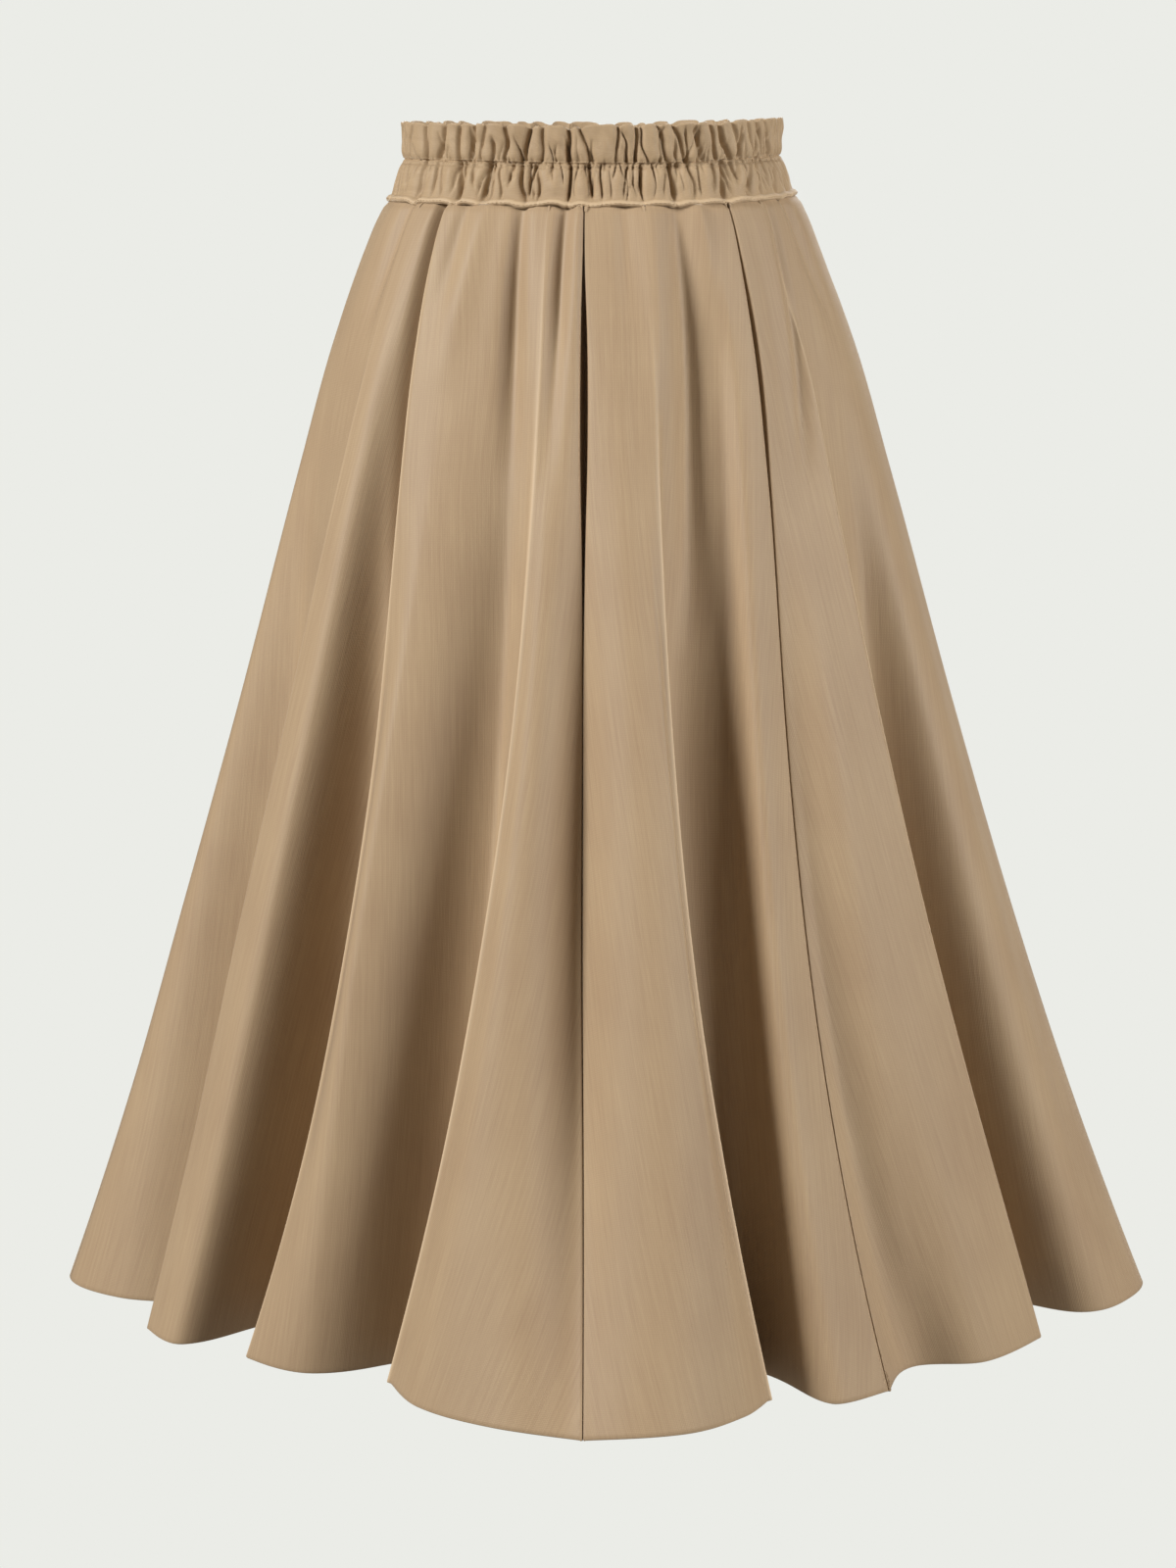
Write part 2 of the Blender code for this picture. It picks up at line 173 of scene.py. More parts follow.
# Flat sizes are measured along this cloth, with the folds laid flat and no seam allowance.
# place, first and last seam, flat width at the hem, length and area
GORES = (
    ("front_side_left", "side_seam", "left_pleat_edge", 0.382, 0.785, 0.192),
    ("front_centre_left", "left_pleat_edge", "centre_slot", 0.390, 0.783, 0.178),
    ("front_centre_right", "centre_slot", "right_slot", 0.344, 0.783, 0.168),
    ("front_side_right", "right_slot", "side_seam", 0.410, 0.791, 0.204),
    ("back_side_right", "side_seam", "left_pleat_edge", 0.357, 0.791, 0.184),
    ("back_centre_right", "left_pleat_edge", "centre_slot", 0.376, 0.783, 0.174),
    ("back_centre_left", "centre_slot", "right_slot", 0.334, 0.783, 0.168),
    ("back_side_left", "right_slot", "side_seam", 0.395, 0.786, 0.196),
)

# Soft troughs (depth above 0) and ridges (below 0) that start under the gathers and in the rolls.
# share of the drop at its head and foot, angle at its head and foot, width at both, depth
SOFT_FOLDS = (
    (-0.06, 0.16, -28.5, -33.5, 0.0050, 0.0120, -0.0044),
    (-0.06, 0.24, -20.0, -17.5, 0.0042, 0.0095, 0.0086),
    (-0.08, 0.26, -6.5, -9.5, 0.0040, 0.0080, 0.0072),
    (-0.06, 0.13, -3.8, -4.4, 0.0030, 0.0060, -0.0036),
    (-0.05, 0.22, 15.5, 13.0, 0.0050, 0.0120, -0.0034),
    (-0.07, 0.38, 24.0, 18.5, 0.0055, 0.0120, 0.0090),
    (-0.07, 0.12, 30.5, 28.5, 0.0036, 0.0085, -0.0030),
    (-0.05, 0.26, 58.0, 43.0, 0.0030, 0.0060, 0.0040),
    (-0.06, 0.12, -60.0, -63.0, 0.0040, 0.0090, 0.0052),
    (-0.06, 0.10, 8.5, 8.0, 0.0040, 0.0080, 0.0026),
    (-0.06, 0.09, -36.5, -36.5, 0.0035, 0.0070, 0.0030),
    (-0.06, 0.12, 66.0, 68.0, 0.0040, 0.0085, 0.0046),
    (-0.12, 0.55, -46.4, -42.6, 0.0030, 0.0070, 0.0075),
    (0.26, 1.36, -3.2, -3.4, 0.0100, 0.0380, 0.0170),
)

SOFT_FOLD_TAPER = 1.2       # above 1, a soft fold's ends fade out more gently

SHARES = np.concatenate([np.linspace(start, end, rows, endpoint=False)
                         for start, end, rows in ROW_SHARES] + [[1.0]])


def through(stops, values, at):
    """Values at some places, on a smooth curve that passes through a value at each stop."""
    stops, values = np.asarray(stops, float), np.asarray(values, float)
    spans = np.diff(stops)
    rises = np.diff(values) / spans
    inner = (rises[:-1] * spans[1:] + rises[1:] * spans[:-1]) / (spans[:-1] + spans[1:])
    slopes = np.concatenate(([2 * rises[0] - inner[0]], inner, [2 * rises[-1] - inner[-1]]))
    i = np.clip(np.searchsorted(stops, at) - 1, 0, len(spans) - 1)
    s = (at - stops[i]) / spans[i]
    start = (1 + 2 * s) * (1 - s) ** 2 * values[i] + s * (1 - s) ** 2 * spans[i] * slopes[i]
    end = s * s * (3 - 2 * s) * values[i + 1] - s * s * (1 - s) * spans[i] * slopes[i + 1]
    return start + end


def columns_of(table):
    """A table turned from rows into columns."""
    return list(zip(*table))


drop_stops, *outline_columns = columns_of(OUTLINE)
half_width, half_depth, shift = (through(drop_stops, column, SHARES * SKIRT_DROP)
                                 for column in outline_columns)


def on_outline(angle, reach, along=0.0, inward=0.0):
    """A plan position for each row of the cloth, at an angle round the outline, then moved."""
    turn = np.radians(angle)
    across = np.stack((half_width * np.cos(turn), half_depth * np.sin(turn)))
    across /= np.linalg.norm(across, axis=0)
    x = shift + half_width * reach * np.sin(turn) + along * across[0] - inward * across[1]
    y = -half_depth * reach * np.cos(turn) + along * across[1] + inward * across[0]
    return np.stack((x, y), axis=1)


def fold_corners(fold, angle, reach, roundness):
    """A fold's corners in order round the skirt: place, roundness, if a seam, and the strength of its
    painted highlight.
    """
    if fold in SLOTS:
        heights, openings, depths = columns_of(SLOTS[fold])
        opening = through(heights, openings, SHARES)
        depth = through(heights, depths, SHARES)
        return ((on_outline(angle, reach, along=-opening), roundness, False, 0.0),
                (on_outline(angle, reach, inward=depth), 1.0, True, 0.0),
                (on_outline(angle, reach, along=opening), roundness, False, 0.0))
    if fold in TUCKS:
        side = TUCKS[fold][0]
        under = through((WAIST, HIP, MID, HEM), TUCKS[fold][1:5], SHARES)
        depth = through((WAIST, HIP, MID, HEM), TUCKS[fold][5:], SHARES)
        opens = np.clip(depth / RIM_OPEN_DEPTH, RIM_LEAST, 1.0)
        rim = (on_outline(angle, reach, along=-side * RIM_WIDTH * opens,
                          inward=-RIM_DROP * opens), 1 - (1 - roundness) * opens, False, 0.0)
        # The edge's last entry is how strongly a painted highlight lies along it.
        edge = (on_outline(angle, reach), 1 - (1 - EDGE_ROUND) * opens, False, opens)
        tuck = (on_outline(angle, reach, along=-side * under, inward=depth), 1.0, True, 0.0)
        return (rim, edge, tuck) if side > 0 else (tuck, edge, rim)
    return ((on_outline(angle, reach), roundness, True, 0.0),)


def skirt_corners():
    """Every corner round the skirt, its place in each row, and the steps of cloth after it."""
    corners, steps, seams = [], [], {}
    for in_back in (False, True):
        for fold, at_waist, at_mid, at_hem, hip_reach, mid_reach, hem_reach, roundness in FOLDS:
            angle = through((WAIST, MID, HEM), (at_waist, at_mid, at_hem), SHARES)
            reach = through((WAIST, HIP, MID, HEM), (1.0, hip_reach, mid_reach, hem_reach), SHARES)
            if in_back:
                drift = BACK_DRIFT * np.sin(np.radians(BACK_DRIFT_WAVES * angle))
                angle = angle + BACK_TURN + drift
                reach = 1 - (1 - reach) * BACK_EASE
            fold_places = fold_corners(fold, angle, reach, roundness)
            for i, corner in enumerate(fold_places):
                if corner[2]:
                    seams[in_back, fold] = len(corners)
                corners.append(corner)
                steps.append(SLOT_STEPS if i < len(fold_places) - 1 else 0)
    for i, corner in enumerate(corners):
        if steps[i] == 0:
            span = np.linalg.norm(corners[(i + 1) % len(corners)][0][-1] - corner[0][-1])
            steps[i] = max(FEWEST_STEPS, round(span / STEP_LENGTH))
    return corners, steps, seams


def painted_edge_highlights(rings, corners):
    """The painted highlight along each edge over a tuck: how near each point is to it, from 0 to 1 on
    the edge itself.
    """
    painted_highlight = np.zeros(rings.shape[:2])
    for place, _, _, strength in corners:
        if np.any(strength):
            away = np.linalg.norm(rings - place[:, None], axis=2)
            painted_highlight = np.maximum(painted_highlight, strength[:, None] * np.exp(-(away / EDGE_HIGHLIGHT_WIDTH) ** 2))
    return painted_highlight


def cloth_rings(corners, steps):
    """The cloth's outer face as closed smooth rings of plan points, one ring a row."""
    places = np.stack([place for place, _, _, _ in corners], axis=1)
    following = np.roll(places, -1, axis=1)
    ways = following - np.roll(places, 1, axis=1)
    ways /= np.linalg.norm(ways, axis=2, keepdims=True)
    spans = np.linalg.norm(following - places, axis=2, keepdims=True)
    stretches = []
    for i, (_, roundness, _, _) in enumerate(corners):
        after = (i + 1) % len(corners)
        s = (np.arange(steps[i]) / steps[i])[None, :, None]
        leave = s * (1 - s) ** 2 * spans[:, i, None] * np.reshape(roundness, (-1, 1, 1))
        arrive = -s * s * (1 - s) * spans[:, i, None] * np.reshape(corners[after][1], (-1, 1, 1))
        stretches.append((1 + 2 * s) * (1 - s) ** 2 * places[:, i, None]
                         + s * s * (3 - 2 * s) * places[:, after, None]
                         + leave * ways[:, i, None] + arrive * ways[:, after, None])
    return np.concatenate(stretches, axis=1)


def outward(rings):
    """Directions square to closed rings of plan points, out of the skirt."""
    ahead = np.roll(rings, -1, axis=1) - np.roll(rings, 1, axis=1)
    ahead /= np.linalg.norm(ahead, axis=2, keepdims=True)
    return np.stack((ahead[..., 1], -ahead[..., 0]), axis=2)


def angles_round(rings, width, depth, middle):
    """The angle of each point of the rings round its own ellipse, in degrees from the front."""
    return np.degrees(np.arctan2((rings[..., 0] - middle) / width, -rings[..., 1] / depth))


def apart(angle, other):
    """The shortest way round from one angle to another, in degrees."""
    return (angle - other + 180.0) % 360.0 - 180.0


def with_soft_folds(rings):
    """The rings with the soft troughs and ridges pressed into them, in front and behind."""
    width, depth, middle = half_width[:, None], half_depth[:, None], shift[:, None]
    angles = angles_round(rings, width, depth, middle)
    radius = np.hypot(width * np.cos(np.radians(angles)), depth * np.sin(np.radians(angles)))
    inset = np.zeros_like(angles)
    for turn in (0.0, BACK_TURN):
        for head, foot, head_angle, foot_angle, head_width, foot_width, fold_depth in SOFT_FOLDS:
            t = np.clip((SHARES[:, None] - head) / (foot - head), 0.0, 1.0)
            away = np.radians(apart(angles, turn + head_angle + t * (foot_angle - head_angle)))
            fold_width = head_width + t * (foot_width - head_width)
            fade = np.sin(math.pi * t) ** SOFT_FOLD_TAPER
            inset += fold_depth * fade * np.exp(-(away * radius / fold_width) ** 2)
    square = np.stack((-depth * np.sin(np.radians(angles)), width * np.cos(np.radians(angles))), 2)
    return rings + (inset / radius)[..., None] * square, inset


def cloth_mesh(name, grid, closed, lengths, painted_highlight):
    """A sheet of quads over a grid of points, with its UV map in metres and its painted highlight."""
    rows, columns = grid.shape[:2]
    across = columns if closed else columns - 1
    first = (np.arange(rows - 1)[:, None] * columns + np.arange(across)[None, :])
    after = (np.arange(rows - 1)[:, None] * columns + (np.arange(across)[None, :] + 1) % columns)
    quads = np.stack((first, first + columns, after + columns, after), axis=2).reshape(-1, 4)
    mesh = bpy.data.meshes.new(name)
    mesh.from_pydata(grid.reshape(-1, 3).tolist(), [], quads.tolist())
    u, v = lengths
    corner_columns = np.stack((np.arange(across), np.arange(across),
                               np.arange(across) + 1, np.arange(across) + 1), axis=1)
    corner_rows = np.array((0, 1, 1, 0))[None, None, :] + np.arange(rows - 1)[:, None, None]
    corner_rows = np.broadcast_to(corner_rows, (rows - 1, across, 4))
    corner_columns = np.broadcast_to(corner_columns[None], (rows - 1, across, 4))
    uv = np.stack((u[corner_rows, corner_columns], v[corner_rows, corner_columns]), axis=-1)
    layer = mesh.uv_layers.new(name="cloth_metres")
    layer.uv.foreach_set("vector", uv.reshape(-1).astype(np.float32))
    mesh.attributes.new("painted_highlight", "FLOAT", "POINT").data.foreach_set(
        "value", painted_highlight.reshape(-1).astype(np.float32))
    mesh.shade_smooth()
    return mesh


def lengths_along(grid, closed):
    """How far each point of a grid lies along its row, from the row's middle, and down its column."""
    ring = np.concatenate((grid, grid[:, :1]), axis=1) if closed else grid
    across = np.linalg.norm(np.diff(ring, axis=1), axis=2)
    u = np.concatenate((np.zeros((len(ring), 1)), np.cumsum(across, axis=1)), axis=1)
    u -= u[:, ring.shape[1] // 2, None]
    down = np.linalg.norm(np.diff(ring, axis=0), axis=2).mean(axis=1)
    v = np.concatenate(([0.0], np.cumsum(down)))
    return u, np.broadcast_to(v[:, None], u.shape)


def linear(code):
    """A linear colour from an sRGB hex code."""
    channels = [int(code[i:i + 2], 16) / 255 for i in (0, 2, 4)]
    return [c / 12.92 if c <= 0.04045 else ((c + 0.055) / 1.055) ** 2.4 for c in channels] + [1.0]


def node(tree, kind, settings=(), **links):
    """Adds a node with its settings, its sockets' values and its links to other nodes' sockets."""
    made = tree.nodes.new(kind)
    for name, value in dict(settings).items():
        setattr(made, name, value)
    for name, value in links.items():
        socket = next(s for s in made.inputs if s.name.replace(" ", "_").lower() == name
                      and s.enabled)
        if isinstance(value, bpy.types.NodeSocket):
            tree.links.new(value, socket)
        else:
            socket.default_value = value
    return made


# Fine polyester twill: matt, closely woven, with a soft bloom where it turns away from the eye.
# Its threads are taken as 0.35 mm apart, too fine to show, so the weave is drawn 1.1 mm apart and
# faint. Slubs in the warp give it short upright streaks.
WEAVE_SPACING = 0.0011
SLUB_WIDTH = 0.0016
SLUB_LENGTH = 0.060
BANDS_PER_UNIT = 0.314159   # a wave texture of scale 1 has one band in this length
# A painted highlight: the edges over the tucks and the top of the waist seam's ridge are painted
# lighter in this colour where they catch the light.
EDGE_HIGHLIGHT_COLOUR = "DCC4A2"
EDGE_HIGHLIGHT_SHARE = 0.75      # share of that painted highlight colour on the edge itself

# Shares of streaks, mottle and weave in the cloth's tone, and the tones of its two colours.
STREAK_SHARE, MOTTLE_SHARE, WEAVE_SHARE = 0.50, 0.40, 0.15
DARK_TONE, LIGHT_TONE = 0.30, 0.70


def khaki_cloth(name, light, dark, weave_depth):
    """Fine khaki twill: warp streaks and a faint weave along the cloth's own lengths, and a painted
    highlight on its edges.
    """
    material = bpy.data.materials.new(name)
    material.use_nodes = True
    tree = material.node_tree
    shader = tree.nodes["Principled BSDF"]
    lengths = node(tree, "ShaderNodeUVMap", {"uv_map": "cloth_metres"}).outputs["UV"]
    warp = node(tree, "ShaderNodeTexWave", {"bands_direction": "X"}, vector=lengths,
                scale=BANDS_PER_UNIT / WEAVE_SPACING, distortion=0.6, detail=1.0)
    weft = node(tree, "ShaderNodeTexWave", {"bands_direction": "Y"}, vector=lengths,
                scale=BANDS_PER_UNIT / WEAVE_SPACING, distortion=0.6, detail=1.0)
    weave = node(tree, "ShaderNodeMath", {"operation": "MULTIPLY"})
    tree.links.new(warp.outputs["Fac"], weave.inputs[0])
    tree.links.new(weft.outputs["Fac"], weave.inputs[1])
    streak_place = node(tree, "ShaderNodeMapping", vector=lengths,
                        scale=(1 / SLUB_WIDTH, 1 / SLUB_LENGTH, 1.0))
    streaks = node(tree, "ShaderNodeTexNoise", vector=streak_place.outputs["Vector"],
                   scale=1.0, detail=3.0, roughness=0.6)
    mottle = node(tree, "ShaderNodeTexNoise", vector=lengths, scale=9.0, detail=2.0,
                  roughness=0.5)
    faint_mottle = node(tree, "ShaderNodeMath", {"operation": "MULTIPLY"})
    tree.links.new(mottle.outputs["Fac"], faint_mottle.inputs[0])
    faint_mottle.inputs[1].default_value = MOTTLE_SHARE
    tone = node(tree, "ShaderNodeMath", {"operation": "MULTIPLY_ADD"})
    tree.links.new(streaks.outputs["Fac"], tone.inputs[0])
    tone.inputs[1].default_value = STREAK_SHARE
    tree.links.new(faint_mottle.outputs["Value"], tone.inputs[2])
    tone_weave = node(tree, "ShaderNodeMath", {"operation": "MULTIPLY_ADD"})
    tree.links.new(weave.outputs["Value"], tone_weave.inputs[0])
    tone_weave.inputs[1].default_value = WEAVE_SHARE
    tree.links.new(tone.outputs["Value"], tone_weave.inputs[2])
    ramp = node(tree, "ShaderNodeValToRGB", fac=tone_weave.outputs["Value"])
    ramp.color_ramp.elements[0].position = DARK_TONE
    ramp.color_ramp.elements[0].color = linear(dark)
    ramp.color_ramp.elements[1].position = LIGHT_TONE
    ramp.color_ramp.elements[1].color = linear(light)
    # Painted highlight: a lighter colour is mixed in along the edges that catch the light.
    edges = node(tree, "ShaderNodeAttribute", {"attribute_name": "painted_highlight"})
    highlight_share = node(tree, "ShaderNodeMath", {"operation": "MULTIPLY"})
    tree.links.new(edges.outputs["Fac"], highlight_share.inputs[0])
    highlight_share.inputs[1].default_value = EDGE_HIGHLIGHT_SHARE
    shown = node(tree, "ShaderNodeMix", {"data_type": "RGBA"}, factor=highlight_share.outputs["Value"])
    tree.links.new(ramp.outputs["Color"], shown.inputs[6])
    shown.inputs[7].default_value = linear(EDGE_HIGHLIGHT_COLOUR)
    tree.links.new(shown.outputs[2], shader.inputs["Base Color"])
    weave_bump = node(tree, "ShaderNodeBump", strength=0.35, distance=weave_depth,
                      height=weave.outputs["Value"])
    streak_bump = node(tree, "ShaderNodeBump", strength=0.30, distance=0.0004,
                       height=streaks.outputs["Fac"], normal=weave_bump.outputs["Normal"])
    tree.links.new(streak_bump.outputs["Normal"], shader.inputs["Normal"])
    shader.inputs["Roughness"].default_value = 0.58
    shader.inputs["Specular IOR Level"].default_value = 0.35
    shader.inputs["Sheen Weight"].default_value = 0.50
    shader.inputs["Sheen Roughness"].default_value = 0.32
    shader.inputs["Sheen Tint"].default_value = linear("F4ECE0")
    return material


panel_cloth = khaki_cloth("khaki_twill_panels", "AF9878", "9C8367", 0.00014)

corners, steps, seams = skirt_corners()
rings = cloth_rings(corners, steps)
# Painted highlight along the edges over the tucks.
painted_highlight = painted_edge_highlights(rings, corners)
rings, soft_insets = with_soft_folds(rings)
column_starts = np.concatenate(([0], np.cumsum(steps)))
total = rings.shape[1]
drops = SHARES[:, None] * SKIRT_DROP
ring_angles = angles_round(rings, half_width[:, None], half_depth[:, None], shift[:, None])
seam_lifts = through(*columns_of(SEAM_LIFT), (ring_angles + 90.0) % 360.0 - 90.0)
heights = WAIST_SEAM_Z - drops + seam_lifts * np.clip(1 - SHARES[:, None] / LIFT_FADE, 0.0, 1.0)
heights = heights - TROUGH_SINKS * soft_insets * SHARES[:, None] ** TROUGH_SINK_POWER
top_inset = SEAM_INSET * np.clip(1 - drops / SEAM_INSET_FADE, 0.0, 1.0)
rings = rings - top_inset[..., None] * outward(rings)
skirt_grid = np.concatenate((rings, heights[..., None]), axis=2)

# Rows round the fold of the hem, then up the turned allowance behind the outer cloth.
hem_inward = np.concatenate((-outward(rings), np.zeros_like(heights)[..., None]), axis=2)
hem_turns = [(-1, HEM_FOLD_RADIUS * (1 - math.cos(turn)), HEM_FOLD_RADIUS * math.sin(turn))
             for turn in np.radians(HEM_FOLD_TURNS)]
hem_turns += [(-1 - rows_up, 2 * HEM_FOLD_RADIUS, 0.0) for rows_up in HEM_TURN_UP_ROWS]
hem_grid = np.stack([skirt_grid[row] + inward * hem_inward[row] - np.array((0.0, 0.0, down))
                     for row, inward, down in hem_turns])
skirt_grid = np.concatenate((skirt_grid, hem_grid))
painted_highlight = np.concatenate((painted_highlight, np.zeros(hem_grid.shape[:2])))

for place, first_seam, last_seam, hem_width, length, area in GORES:
    piece, cad_node, in_back = f"{place}_panel", f"gore_{place}", place.startswith("back")
    ends_next_half = last_seam == "side_seam"
    first = column_starts[seams[in_back, first_seam]]
    last = column_starts[seams[in_back != ends_next_half, last_seam]]
    taken = (first + np.arange((last - first) % total + 1)) % total
    grid = skirt_grid[:, taken]
    panel = bpy.data.objects.new(
        piece, cloth_mesh(piece, grid, False, lengths_along(grid, False), painted_highlight[:, taken]))
    panel.data.materials.append(panel_cloth)
    bpy.context.scene.collection.objects.link(panel)
    solidify = panel.modifiers.new("cloth_thickness", "SOLIDIFY")
    solidify.thickness = CLOTH_THICKNESS
    solidify.offset = -1.0
    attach(panel, "root")
    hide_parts(cad_node)


# ---------------------------------------------------------------- waistband
# One straight strip of the same cloth, folded double over 25 mm elastic. A row of stitches closes
# the casing above the elastic, and the cloth over it stands up as a frill. The elastic pulls both
# into deep creases, and the waist seam below is topstitched into a thick wavy ridge.

# height, half width, half depth of the band's outer face
BAND = (
    (-0.0262, 0.1350, 0.1016),
    (-0.0205, 0.1330, 0.1002),
    (-0.0130, 0.1313, 0.0990),
    (-0.0045, 0.1284, 0.0968),
    (0.0000, 0.1260, 0.0948),
    (0.0035, 0.1268, 0.0956),
    (0.0140, 0.1268, 0.0956),
    (0.0285, 0.1270, 0.0958),
)
BAND_COLUMNS = 1060
BAND_TOP = 0.0275
BAND_FOOT = -0.0262
BAND_THICKNESS = 0.0020
BAND_ROW_STEP = 0.0013
FINE_ROW_STEP = 0.0004      # beside the stitch row and on the ridge of the waist seam
FINE_ROWS = 7               # on each side of the stitch row
FINE_ROWS_PAST_RIDGE = 1.6  # half widths of the ridge above its middle where they end
TOP_FOLD_ROWS = 7
INSIDE_ROW_STEP = 3.2 * BAND_ROW_STEP

# Creases of the frilled heading in front, repeated behind.
# angle at the stitch row and at the top, depth, half width, share of the height that it reaches
HEADING_CREASES = (
    (-88.0, -88.0, 0.0020, 0.0030, 1.00), (-80.0, -79.0, 0.0026, 0.0030, 1.00),
    (-72.9, -69.5, 0.0022, 0.0030, 1.00), (-60.2, -59.7, 0.0042, 0.0036, 1.00),
    (-52.8, -49.3, 0.0040, 0.0034, 1.00), (-47.4, -46.7, 0.0016, 0.0020, 0.30),
    (-43.8, -42.4, 0.0034, 0.0032, 0.95), (-37.7, -37.5, 0.0034, 0.0030, 1.00),
    (-31.1, -29.9, 0.0022, 0.0034, 0.60), (-26.3, -26.0, 0.0032, 0.0032, 1.00),
    (-21.8, -22.4, 0.0020, 0.0024, 0.40), (-20.0, -18.8, 0.0046, 0.0040, 1.00),
    (-15.3, -13.9, 0.0032, 0.0050, 1.00), (-10.4, -10.3, 0.0018, 0.0026, 0.45),
    (-6.4, -7.3, 0.0048, 0.0046, 1.00), (-3.5, -3.5, 0.0016, 0.0022, 0.30),
    (-0.7, -3.2, 0.0036, 0.0050, 1.00), (7.4, 7.2, 0.0028, 0.0028, 1.00),
    (9.4, 9.3, 0.0016, 0.0022, 0.35), (13.1, 12.8, 0.0032, 0.0030, 1.00),
    (16.6, 14.2, 0.0026, 0.0030, 1.00), (23.3, 19.4, 0.0026, 0.0032, 1.00),
    (29.4, 24.7, 0.0036, 0.0034, 1.00), (34.4, 31.9, 0.0022, 0.0042, 0.90),
    (40.4, 37.5, 0.0036, 0.0032, 1.00), (45.9, 40.9, 0.0044, 0.0040, 1.00),
    (50.4, 47.0, 0.0026, 0.0036, 1.00), (57.6, 54.0, 0.0022, 0.0034, 1.00),
    (63.9, 58.3, 0.0022, 0.0034, 1.00), (68.7, 64.0, 0.0022, 0.0034, 1.00),
    (78.0, 76.0, 0.0024, 0.0034, 1.00), (86.0, 85.0, 0.0020, 0.0030, 1.00),
)

# Creases of the casing over the elastic in front, repeated behind.
# angle at the stitch row and at the waist seam, depth, half width, share of the height reached
CASING_CREASES = (
    (-88.0, -85.0, 0.0020, 0.0030, 1.00), (-81.0, -76.0, 0.0026, 0.0030, 1.00),
    (-72.9, -64.3, 0.0026, 0.0027, 0.60), (-60.8, -57.9, 0.0050, 0.0042, 1.00),
    (-52.7, -51.2, 0.0024, 0.0022, 0.80), (-50.0, -47.5, 0.0020, 0.0022, 0.80),
    (-42.8, -40.5, 0.0044, 0.0032, 1.00), (-39.4, -38.0, 0.0014, 0.0020, 0.25),
    (-37.2, -34.6, 0.0018, 0.0030, 0.60), (-32.6, -31.8, 0.0044, 0.0036, 1.00),
    (-27.6, -26.3, 0.0024, 0.0028, 1.00), (-21.9, -18.6, 0.0048, 0.0046, 1.00),
    (-17.8, -17.0, 0.0014, 0.0020, 0.25), (-15.5, -15.0, 0.0030, 0.0032, 1.00),
    (-12.3, -11.2, 0.0016, 0.0024, 0.30), (-6.8, -6.2, 0.0052, 0.0038, 1.00),
    (-4.5, -4.7, 0.0020, 0.0026, 0.70), (-1.8, -1.3, 0.0022, 0.0045, 1.00),
    (3.1, 2.3, 0.0028, 0.0032, 1.00), (5.8, 4.9, 0.0018, 0.0030, 1.00),
    (10.0, 9.6, 0.0014, 0.0020, 0.25), (12.3, 12.0, 0.0018, 0.0026, 0.70),
    (15.0, 13.9, 0.0040, 0.0034, 1.00), (17.9, 17.4, 0.0014, 0.0022, 0.30),
    (19.9, 19.2, 0.0014, 0.0022, 0.25), (24.2, 23.2, 0.0046, 0.0042, 1.00),
    (27.0, 26.4, 0.0014, 0.0022, 0.20), (29.6, 30.2, 0.0022, 0.0046, 1.00),
    (34.4, 33.8, 0.0014, 0.0022, 0.25), (38.3, 36.0, 0.0020, 0.0028, 0.60),
    (42.0, 40.5, 0.0048, 0.0044, 1.00), (48.0, 45.5, 0.0016, 0.0030, 0.60),
    (54.8, 48.7, 0.0022, 0.0034, 0.90), (60.0, 55.4, 0.0024, 0.0034, 0.85),
    (71.6, 64.4, 0.0032, 0.0028, 0.85), (80.0, 74.0, 0.0026, 0.0030, 1.00),
    (87.0, 84.0, 0.0020, 0.0030, 1.00),
)

# How far the top edge and the stitch row lie above their level height.
# angle, top edge, stitch row
BAND_LIFT = (
    (-90.0, 0.0000, 0.0040),
    (-45.0, -0.0002, 0.0036),
    (0.0, -0.0010, 0.0022),
    (30.0, 0.0002, 0.0028),
    (50.0, 0.0018, 0.0048),
    (75.0, 0.0028, 0.0062),
    (90.0, 0.0028, 0.0064),
    (135.0, 0.0010, 0.0034),
    (180.0, -0.0006, 0.0024),
    (225.0, 0.0004, 0.0030),
    (270.0, 0.0000, 0.0040),
)

# Share of a crease's depth by which it draws the top edge and the waist seam down, the height
# where that depth is read, and the columns to each side that it is evened out over.
TOP_DIP, TOP_DIP_HEIGHT, TOP_DIP_SPREAD = 0.55, 0.024, 2
SEAM_DIP, SEAM_DIP_HEIGHT, SEAM_DIP_SPREAD = 0.50, -0.017, 5

# Puckers along the stitch row, about 3.1 mm apart. A size of 1 has the full depth.
PUCKERS = 227
PUCKER_DEPTH = 0.0013
PUCKER_WIDTH = 0.0012
PUCKER_HEIGHT = 0.0022      # times the sum of its size and PUCKER_HEIGHT_MORE
PUCKER_HEIGHT_MORE = 0.6
PUCKER_SIZES = (0.3, 1.0)
PUCKER_UNEVEN = 0.3         # share of their pitch that they lie off it at most
PUCKER_LEAN = 0.5
PUCKER_SEED = 4

# Small slanting dents all over the band. Their number, depth, half width, half height and slant.
DENTS = 330
DENT_DEPTH = 0.0009
DENT_WIDTH = 0.0022
DENT_HEIGHT = 0.0050
DENT_SLANT = 0.35
DENT_SEED = 11

# A crease is a narrow cusp in the middle of a wide soft bell: the share of its depth that each
# takes, and their half widths as shares of the crease's own.
CUSP_SHARE, CUSP_WIDTH = 1.10, 0.66
BELL_SHARE, BELL_WIDTH = 0.50, 1.5
CUSP_POWER = 1.3            # a higher one makes the cusp sharper
CREASE_SWAY = 0.45          # degrees that a crease wanders from its line
SWAY_BENDS = (0.5, 1.1)     # least and most waves of that along it
CREASE_FADE = 0.24          # share of the height over which a short crease ends
SWAY_SEED = 7

# Creases have this share of their depth on the stitch row, and gain a whole depth in this height.
CREASE_AT_ROW, CREASE_RISE = 0.35, 0.0030
